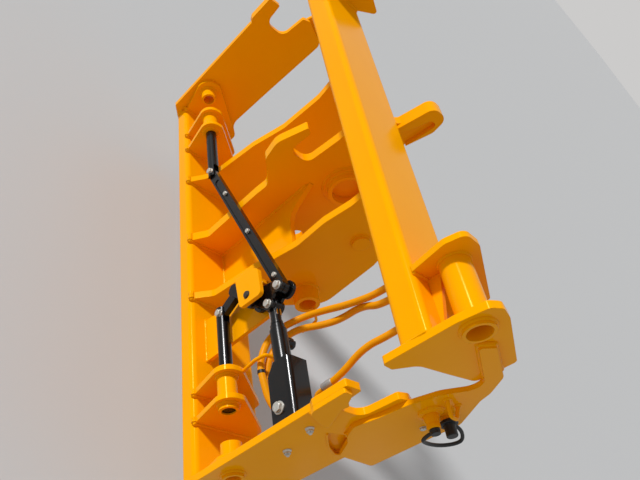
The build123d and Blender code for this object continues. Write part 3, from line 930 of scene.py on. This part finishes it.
@dataclass
class CentrePlates:
    """Welds of the bosses, and of the plates' tops under the upper beam."""

    pivot_r: float = 26.5
    tilt: Pair = (148.0, 248.0)
    tilt_rings: tuple[Ring, ...] = ((-32.0, 50.0, 3.2), (-27.0, 42.0, 3.2), (126.0, 18.0, 3.0))
    plate_face_x: float = 126.0
    tops: tuple[Pair, ...] = (
        (-234.0, 55.0),
        (-218.0, 55.0),
        (-52.0, 53.0),
        (-32.0, 53.0),
        (110.0, 62.0),
        (126.0, 62.0),
    )
    tops_end_y: float = 80.0
    beam_rear_y: float = 83.0
    horn_faces: Pair = (-52.0, -32.0)
    horn_z: Pair = (BEAM_LOW + 2, BEAM_TOP - 12)
    size: float = 4.0

    def build(self, welds: Welds) -> None:
        """Lay the welds.

        Args:
            welds: The maker of the runs.
        """
        runs = [(circle_x(self.plate_face_x, PIVOT_Y, PIVOT_Z, self.pivot_r), self.size, True)]
        for x, r, size in self.tilt_rings:
            runs.append((circle_x(x, *self.tilt, r), size, True))
        for x, y in self.tops:
            runs.append(([(x, y, BEAM_LOW), (x, self.tops_end_y, BEAM_LOW)], self.size, False))
        for x in self.horn_faces:
            runs.append(([(x, self.beam_rear_y, z) for z in self.horn_z], self.size, False))
        welds.lay("boss_welds", runs)


@dataclass
class SideHooks:
    """Welds of the hook and throat plates, and the nuts on the left side plate."""

    laminate: tuple[Pair, ...] = ((-38.0, 219.0), (14.0, 198.0), (-12.0, 254.0))
    throat: tuple[Pair, ...] = ((72.0, 188.0), (59.0, 197.0))
    pocket: tuple[Pair, ...] = (
        (110.0, 141.0),
        (106.5, 133.5),
        (99.0, 132.5),
        (90.0, 136.5),
        (74.0, 145.0),
        (62.0, 154.5),
        (51.0, 164.0),
        (35.0, 179.5),
    )
    pocket_size: float = 2.2
    throat_low: tuple[Pair, ...] = ((124.0, 142.0), (112.0, 142.0))
    head_lap: tuple[Pair, ...] = ((118.0, 412.0), (28.0, 462.0), (50.0, 477.0), (121.0, 441.0))
    arm_end: tuple[Pair, ...] = ((27.0, 461.0), (50.0, 476.0))
    arm_end_size: float = 4.6
    nuts: tuple[Pair, ...] = ((-1.9, 179.8), (19.6, 107.4))
    small_bolt: Pair = (146.5, 275.5)
    size: float = 3.4
    arm_end_x: float = 519.0

    def build(self, welds: Welds) -> None:
        """Lay the welds on both sides, and put on the nuts and the small bolt.

        Args:
            welds: The maker of the runs.
        """
        runs = []
        for hand in (-1, 1):
            x = hand * SIDE_OUT
            for rows in (self.laminate, self.throat, self.throat_low, self.head_lap):
                runs.append(([(x, y, z) for y, z in rows], self.size, False))
            arm_end = [(hand * self.arm_end_x, y, z) for y, z in self.arm_end]
            pocket = [(x, y, z) for y, z in self.pocket]
            runs += [(arm_end, self.arm_end_size, False), (pocket, self.pocket_size, False)]
        welds.lay("side_welds", runs)
        shape = bmesh.new()
        for y, z in self.nuts:
            SIDE_NUT.add(shape, (SIDE_OUT, y, z), LEFTWARD)
        M6.add(shape, (COUPLING_X, *self.small_bolt), LEFTWARD)
        welds.bench.fit("side_plate_nuts", shape, Finish.ZINC, "carriage")


@dataclass
class LockLinkage:
    """Bolts and nuts of the lock linkage, each on the link that it moves with."""

    crank_face: float = 14.0
    crank_pins: tuple[Pair, ...] = ((248.5, 165.5), (271.5, 137.5))
    keeper_bolt: Row = (239.0, -32.0, 105.6)
    cover_bolt: Row = (476.0, -26.0, 147.0)
    link_bolts: tuple[Row, ...] = ((-85.9, -5.6, 41.0), (66.7, -5.6, 97.5), (214.0, -5.6, 153.4))
    forks: tuple[tuple[str, Row], ...] = (
        ("lock_pin_left", (210.0, -10.5, 3.0)),
        ("lock_pin_right", (-187.0, -10.5, 1.5)),
    )
    anchor: Row = (475.0, 0.0, 146.0)
    rod_pin: Row = (272.0, 0.0, 138.0)
    mouth: float = 163.0
    clevis: tuple[Pair, ...] = ((0.0, 10.8), (5.0, 10.8), (6.0, 9.4), (30.0, 9.4), (32.0, 9.2))
    eye_r: float = 13.3
    eye_half: float = 7.3
    banjo: float = 132.0
    barrel_r: float = 14.4
    banjo_ring: tuple[Pair, ...] = ((-2.0, 10.5), (9.0, 10.5), (10.0, 9.0))
    banjo_head: tuple[Pair, ...] = ((9.5, 9.5), (10.5, 9.8), (14.0, 9.8), (15.0, 8.4))
    banjo_flats: float = 16.0

    def build(self, bench: Bench) -> None:
        """Put on the fasteners, the rod's clevis and the cylinder's banjo fitting.

        Args:
            bench: Where the pieces get their finish and body.
        """
        shape = bmesh.new()
        for x, z in self.crank_pins:
            M8.add(shape, (x, -self.crank_face, z), FORWARD)
            THIN_NUT.add(shape, (x, self.crank_face, z), REARWARD)
        bench.fit("crank_bolts", shape, Finish.ZINC, "bell_crank")
        shape = bmesh.new()
        M10.add(shape, self.cover_bolt, FORWARD)
        bench.fit("cover_bolt", shape, Finish.ZINC, "carriage")
        shape = bmesh.new()
        LOW_HEAD.add(shape, self.keeper_bolt, FORWARD)
        bench.fit("keeper_bolt", shape, Finish.PHOSPHATE, "carriage")
        shape = bmesh.new()
        for place in self.link_bolts:
            M6.add(shape, place, FORWARD)
        bench.fit("drag_link_bolts", shape, Finish.ZINC, "drag_link")
        for body, place in self.forks:
            shape = bmesh.new()
            M8.add(shape, place, FORWARD)
            bench.fit(f"{body}_bolt", shape, Finish.ZINC, body)
        self.build_cylinder(bench)

    def build_cylinder(self, bench: Bench) -> None:
        """Put the clevis on the rod and the banjo fitting on the barrel.

        Args:
            bench: Where the pieces get their finish and body.
        """
        line = (Vector(self.rod_pin) - Vector(self.anchor)).normalized()
        shape = bmesh.new()
        turn(shape, tuple(Vector(self.anchor) + line * self.mouth), tuple(line), self.clevis)
        eye = [(-self.eye_half, self.eye_r - 1), (1 - self.eye_half, self.eye_r)]
        eye += [(-along, radius) for along, radius in reversed(eye)]
        turn(shape, self.rod_pin, REARWARD, eye)
        bench.fit("rod_clevis", shape, Finish.BLACK, "cylinder_rod")
        port = Vector(self.anchor) + line * self.banjo + Vector(REARWARD) * self.barrel_r
        shape = bmesh.new()
        turn(shape, tuple(port), REARWARD, self.banjo_ring)
        turn(shape, tuple(port), REARWARD, self.banjo_head, self.banjo_flats)
        bench.fit("cylinder_banjo", shape, Finish.BLACK, "cylinder_barrel")


@dataclass
class HoseRun:
    """The two hoses of the lock cylinder and the third hose, with their block and ends."""

    low_end: HoseEnd = HoseEnd(hose_r=6.5, ferrule_r=8.0, ferrule_l=18.0, flats=17.0)
    top_end: HoseEnd = HoseEnd(hose_r=6.5, ferrule_r=8.6, ferrule_l=22.0, flats=19.0)
    feed_end: HoseEnd = HoseEnd(hose_r=6.0, ferrule_r=8.2, ferrule_l=20.0, flats=18.0)
    per_span: int = 14
    sides: int = 24
    hose_r: float = 6.5
    hose_a: tuple[Row, ...] = (
        (300.0, 100.0, 378.0),
        (300.0, 100.0, 298.0),
        (280.0, 100.0, 222.0),
        (262.0, 90.0, 160.0),
        (262.0, 75.0, 125.0),
        (275.0, 52.0, 100.0),
        (290.0, 40.0, 77.0),
        (316.0, 28.0, 70.0),
        (345.0, 24.0, 62.0),
        (380.0, 30.0, 62.0),
        (410.0, 38.0, 62.0),
        (452.0, 60.0, 76.0),
        (488.0, 60.0, 76.0),
    )
    hose_b: tuple[Row, ...] = (
        (326.0, 100.0, 378.0),
        (326.0, 100.0, 294.0),
        (288.0, 114.0, 240.0),
        (287.0, 113.0, 188.0),
        (286.0, 97.0, 155.0),
        (280.0, 82.0, 125.0),
        (285.0, 67.0, 104.0),
        (302.0, 53.0, 80.0),
        (332.0, 42.0, 64.0),
        (362.0, 43.0, 58.0),
        (396.0, 54.0, 62.0),
        (446.0, 80.0, 78.0),
        (488.0, 80.0, 78.0),
    )
    feed_r: float = 6.0
    feed: tuple[Row, ...] = (
        (411.0, 60.0, 384.0),
        (411.0, 60.0, 318.0),
        (404.0, 60.0, 262.0),
        (426.0, 60.0, 205.0),
        (428.5, 60.0, 176.0),
    )
    pipe_r: float = 4.5
    pipe: tuple[Row, ...] = (
        (428.0, 60.0, 182.0),
        (430.5, 60.0, 165.0),
        (432.5, 60.0, 148.5),
        (449.0, 60.0, 146.5),
        (478.0, 60.0, 146.5),
        (507.0, 60.0, 146.5),
    )
    band_x: float = 352.0
    band_l: float = 6.0
    band_t: float = 0.6
    block_low: Row = (488.0, 48.0, 64.0)
    block_high: Row = (506.5, 92.0, 90.0)
    block_edge: float = 1.5
    feed_top: Row = (411.0, 60.0, 386.0)
    ferrule: Row = (427.9, 60.0, 165.0)
    ferrule_axis: Row = (-0.06, 0.0, 1.0)
    ferrule_rows: tuple[Pair, ...] = ((0.0, 5.6), (1.2, 7.2), (21.0, 7.2), (23.0, 6.2))

    def build(self, bench: Bench) -> None:
        """Lay the hoses, and put on their ends, the block, the band and the ferrule.

        Args:
            bench: Where the pieces get their finish and body.
        """
        ends = bmesh.new()
        for name, rows in (("hose_a", self.hose_a), ("hose_b", self.hose_b)):
            shape = bmesh.new()
            self.lay_tube(shape, rows, self.hose_r)
            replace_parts(bench.fit(f"{name}_tube", shape, Finish.HOSE, "carriage"), name)
            self.low_end.add(ends, rows[-1], RIGHTWARD)
            self.top_end.add(ends, rows[0], DOWNWARD)
        shape = bmesh.new()
        self.lay_tube(shape, self.feed, self.feed_r)
        self.lay_tube(shape, self.pipe, self.pipe_r)
        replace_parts(bench.fit("feed_hose_tube", shape, Finish.HOSE, "carriage"), "feed_hose")
        self.feed_end.add(ends, self.feed_top, DOWNWARD)
        bench.fit("hose_ends", ends, Finish.YELLOW, "carriage")
        self.build_block(bench)
        self.build_band(bench)
        shape = bmesh.new()
        turn(shape, self.ferrule, self.ferrule_axis, self.ferrule_rows)
        bench.fit("feed_hose_ferrule", shape, Finish.SATIN, "carriage")

    def lay_tube(self, shape: bmesh.types.BMesh, rows: Sequence[Row], radius: float) -> None:
        """Lay one tube along its route.

        Args:
            shape: The mesh that gets it.
            rows: The control points of its route.
            radius: Its radius.
        """
        places = along_spline(rows, self.per_span)
        sweep(shape, places, [radius] * len(places), closed=False, sides=self.sides)

    def build_band(self, bench: Bench) -> None:
        """Put the black band round the first hose.

        Args:
            bench: Where the piece gets its finish and body.
        """
        places = along_spline(self.hose_a, self.per_span)
        index = next(i for i, place in enumerate(places) if place.x > self.band_x)
        along = (places[index] - places[index - 1]).normalized()
        grip = self.hose_r + self.band_t
        rows = [(0.0, self.hose_r), (0.3, grip), (self.band_l, grip)]
        rows.append((self.band_l + 0.3, self.hose_r))
        shape = bmesh.new()
        turn(shape, tuple(places[index]), tuple(along), rows, steps=32)
        bench.fit("hose_band", shape, Finish.RUBBER, "carriage")

    def build_block(self, bench: Bench) -> None:
        """Put the port block on the side plate, with its edges broken.

        Args:
            bench: Where the piece gets its finish and body.
        """
        shape = bmesh.new()
        low, high = at(self.block_low), at(self.block_high)
        corners = bmesh.ops.create_cube(shape, size=1.0)["verts"]
        for vertex in corners:
            vertex.co = Vector([h if c > 0 else l for c, l, h in zip(vertex.co, low, high)])
        edges = list(shape.edges)
        width = self.block_edge * MM
        bmesh.ops.bevel(shape, geom=edges, offset=width, segments=2, affect="EDGES")
        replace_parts(bench.fit("port_block_body", shape, Finish.YELLOW, "carriage"), "port_block")


@dataclass
class Couplings:
    """Auxiliary couplings: their root welds, the plug's lip and the strap to the cap."""

    stub: Pair = (118.0, 312.0)
    stub_r: float = 12.5
    cap: Pair = (152.0, 318.0)
    cap_r: float = 10.0
    # Welds round the stub: how far out, the first and last point of a circle, and the size
    stub_runs: tuple[tuple[float, int, int, float], ...] = (
        (1.5, 0, 40, 4.6),
        (5.0, 5, 24, 3.8),
        (9.0, 8, 18, 3.0),
    )
    cap_run: Pair = (0.5, 2.4)
    guard_feet: tuple[Pair, ...] = ((105.0, 353.0), (137.0, 350.0))
    guard_run: Pair = (3.6, 2.6)
    sleeve: tuple[Pair, ...] = ((18.0, 10.2), (24.0, 10.2), (25.2, 9.0))
    cap_stub: tuple[Pair, ...] = ((-0.5, 10.2), (8.4, 9.6))
    cap_rows: tuple[Pair, ...] = (
        (8.0, 13.4),
        (8.8, 14.3),
        (12.8, 14.3),
        (13.6, 13.4),
        (13.8, 9.6),
        (20.0, 8.9),
        (30.8, 8.9),
        (31.8, 8.1),
    )
    plug_x: float = 551.5
    plug_lip: tuple[Pair, ...] = ((-0.5, 7.7), (0.4, 8.1), (2.4, 8.1), (3.2, 7.7))
    strap_r: float = 3.0
    strap_span: int = 10
    strap_sides: int = 12
    strap: tuple[Row, ...] = (
        (554.0, 118.0, 306.0),
        (555.0, 119.0, 286.0),
        (553.0, 138.0, 277.0),
        (550.0, 172.0, 276.0),
        (548.0, 197.0, 288.0),
        (547.0, 203.0, 303.0),
        (543.0, 189.0, 315.0),
        (539.0, 176.0, 319.0),
        (536.0, 164.0, 319.0),
    )

    def build(self, welds: Welds) -> None:
        """Lay the root welds, and put on the plug's lip and the strap.

        Args:
            welds: The maker of the runs.
        """
        runs = []
        for out, first, last, size in self.stub_runs:
            ring = circle_x(COUPLING_X, *self.stub, self.stub_r + out)
            runs.append((ring[first:last], size, last - first == len(ring)))
        cap = circle_x(COUPLING_X, *self.cap, self.cap_r + self.cap_run[0])
        runs.append((cap, self.cap_run[1], True))
        for y, z in self.guard_feet:
            foot = circle_x(COUPLING_X, y, z, self.guard_run[0], count=12)
            runs.append((foot, self.guard_run[1], True))
        welds.lay("coupling_welds", runs)
        shape = bmesh.new()
        turn(shape, (COUPLING_X, *self.stub), LEFTWARD, self.sleeve)
        turn(shape, (COUPLING_X, *self.cap), LEFTWARD, self.cap_stub)
        welds.bench.fit("coupling_sleeves", shape, Finish.YELLOW, "carriage")
        shape = bmesh.new()
        turn(shape, (COUPLING_X, *self.cap), LEFTWARD, self.cap_rows)
        cap = welds.bench.fit("coupling_cap_body", shape, Finish.RUBBER, "carriage")
        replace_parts(cap, "coupling_cap")
        shape = bmesh.new()
        turn(shape, (self.plug_x, *self.stub), LEFTWARD, self.plug_lip)
        places = along_spline(self.strap, self.strap_span)
        radii = [self.strap_r] * len(places)
        sweep(shape, places, radii, closed=False, sides=self.strap_sides)
        welds.bench.fit("coupling_strap", shape, Finish.RUBBER, "carriage")


@dataclass
class Camera:
    """The camera, at the place and roll of the photograph."""

    place: Row = (0.9333, -0.838, 0.717)
    right: Row = (0.1493, 0.7025, 0.6959)
    up: Row = (-0.7465, -0.3815, 0.5452)
    lens_mm: float = 36.65
    sensor_mm: float = 36.0
    clip: Pair = (0.02, 200.0)

    def build(self) -> None:
        """Make the camera and set it as the scene's."""
        data = bpy.data.cameras.new("photo_camera")
        data.lens = self.lens_mm
        data.sensor_width = self.sensor_mm
        data.clip_start, data.clip_end = self.clip
        right = Vector(self.right).normalized()
        back = right.cross(Vector(self.up)).normalized()
        up = back.cross(right)
        camera = bpy.data.objects.new("photo_camera", data)
        turned = Matrix((right, up, back)).transposed().to_4x4()
        camera.matrix_world = Matrix.Translation(self.place) @ turned
        bpy.context.scene.collection.objects.link(camera)
        bpy.context.scene.camera = camera
        log.info("camera placed")


@dataclass
class Studio:
    """Plain pale floor, a soft key from the front right and an even sky."""

    floor_z: float = -0.36
    floor_size: float = 60.0
    floor_hex: str = "#C9CACB"
    floor_roughness: float = 0.9
    key_direction: Row = (-0.50, -0.70, 0.51)
    key_strength: float = 2.75
    key_spread_deg: float = 6.0
    sky_level: float = 0.42
    far_hex: str = "#CCCBCA"

    def build(self) -> None:
        """Make the floor, the lamp and the world."""
        mesh = bpy.data.meshes.new("studio_floor")
        size = self.floor_size
        corners = [(-size, -size), (size, -size), (size, size), (-size, size)]
        mesh.from_pydata([(x, y, self.floor_z) for x, y in corners], [], [(0, 1, 2, 3)])
        floor = bpy.data.objects.new("studio_floor", mesh)
        material, _ = blank_material("studio_floor_paint")
        colour = linear_from_hex(self.floor_hex)
        settings = {"Base Color": colour, "Roughness": self.floor_roughness}
        shader = add_node(material, "ShaderNodeBsdfPrincipled", settings)
        add_node(material, "ShaderNodeOutputMaterial", None, {"Surface": shader.outputs["BSDF"]})
        mesh.materials.append(material)
        bpy.context.scene.collection.objects.link(floor)
        lamp = bpy.data.lights.new("key", "SUN")
        lamp.energy = self.key_strength
        lamp.angle = math.radians(self.key_spread_deg)
        key = bpy.data.objects.new("key", lamp)
        key.rotation_mode = "QUATERNION"
        key.rotation_quaternion = Vector(self.key_direction).to_track_quat("Z", "Y")
        bpy.context.scene.collection.objects.link(key)
        self.build_sky()
        bpy.context.scene.view_settings.view_transform = "Standard"
        log.info("studio built")

    def build_sky(self) -> None:
        """Make a world that lights evenly, and looks as pale as the floor to eye and gloss."""
        world = bpy.data.worlds.new("sky")
        world.use_nodes = True
        nodes = world.node_tree.nodes
        nodes["Background"].inputs["Color"].default_value = (1, 1, 1, 1)
        nodes["Background"].inputs["Strength"].default_value = self.sky_level
        rays = add_node(world, "ShaderNodeLightPath")
        pale = {"Color": linear_from_hex(self.far_hex), "Strength": 1.0}
        seen = add_node(world, "ShaderNodeBackground", pale).outputs[0]
        shown = nodes["Background"].outputs[0]
        for kind in ("Is Camera Ray", "Is Glossy Ray", "Is Transmission Ray"):
            either = add_node(world, "ShaderNodeMixShader", None, {"Fac": rays.outputs[kind]})
            world.node_tree.links.new(shown, either.inputs[1])
            world.node_tree.links.new(seen, either.inputs[2])
            shown = either.outputs[0]
        world.node_tree.links.new(shown, nodes["World Output"].inputs["Surface"])
        bpy.context.scene.world = world


def main() -> None:
    """Build the looks in order."""
    logging.basicConfig(level=logging.INFO, format="%(message)s")
    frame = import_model()
    Camera().build()
    bench = Bench({finish: finish.build() for finish in Finish})
    slots = {row["node"]: row["material_slot"] for row in frame["record"]["subparts"]}
    by_slot = {finish.slot: finish for finish in reversed(Finish)}
    for name, node in frame["nodes"].items():
        node.data.materials.clear()
        node.data.materials.append(bench.finishes[by_slot[slots[name]]])
    welds = Welds(bench)
    for part in (LowerMember(), PinTubes(), Heads(), CentrePlates(), SideHooks(), Couplings()):
        part.build(welds)
    for part in (LockLinkage(), HoseRun()):
        part.build(bench)
    Studio().build()


if __name__ == "__main__":
    main()
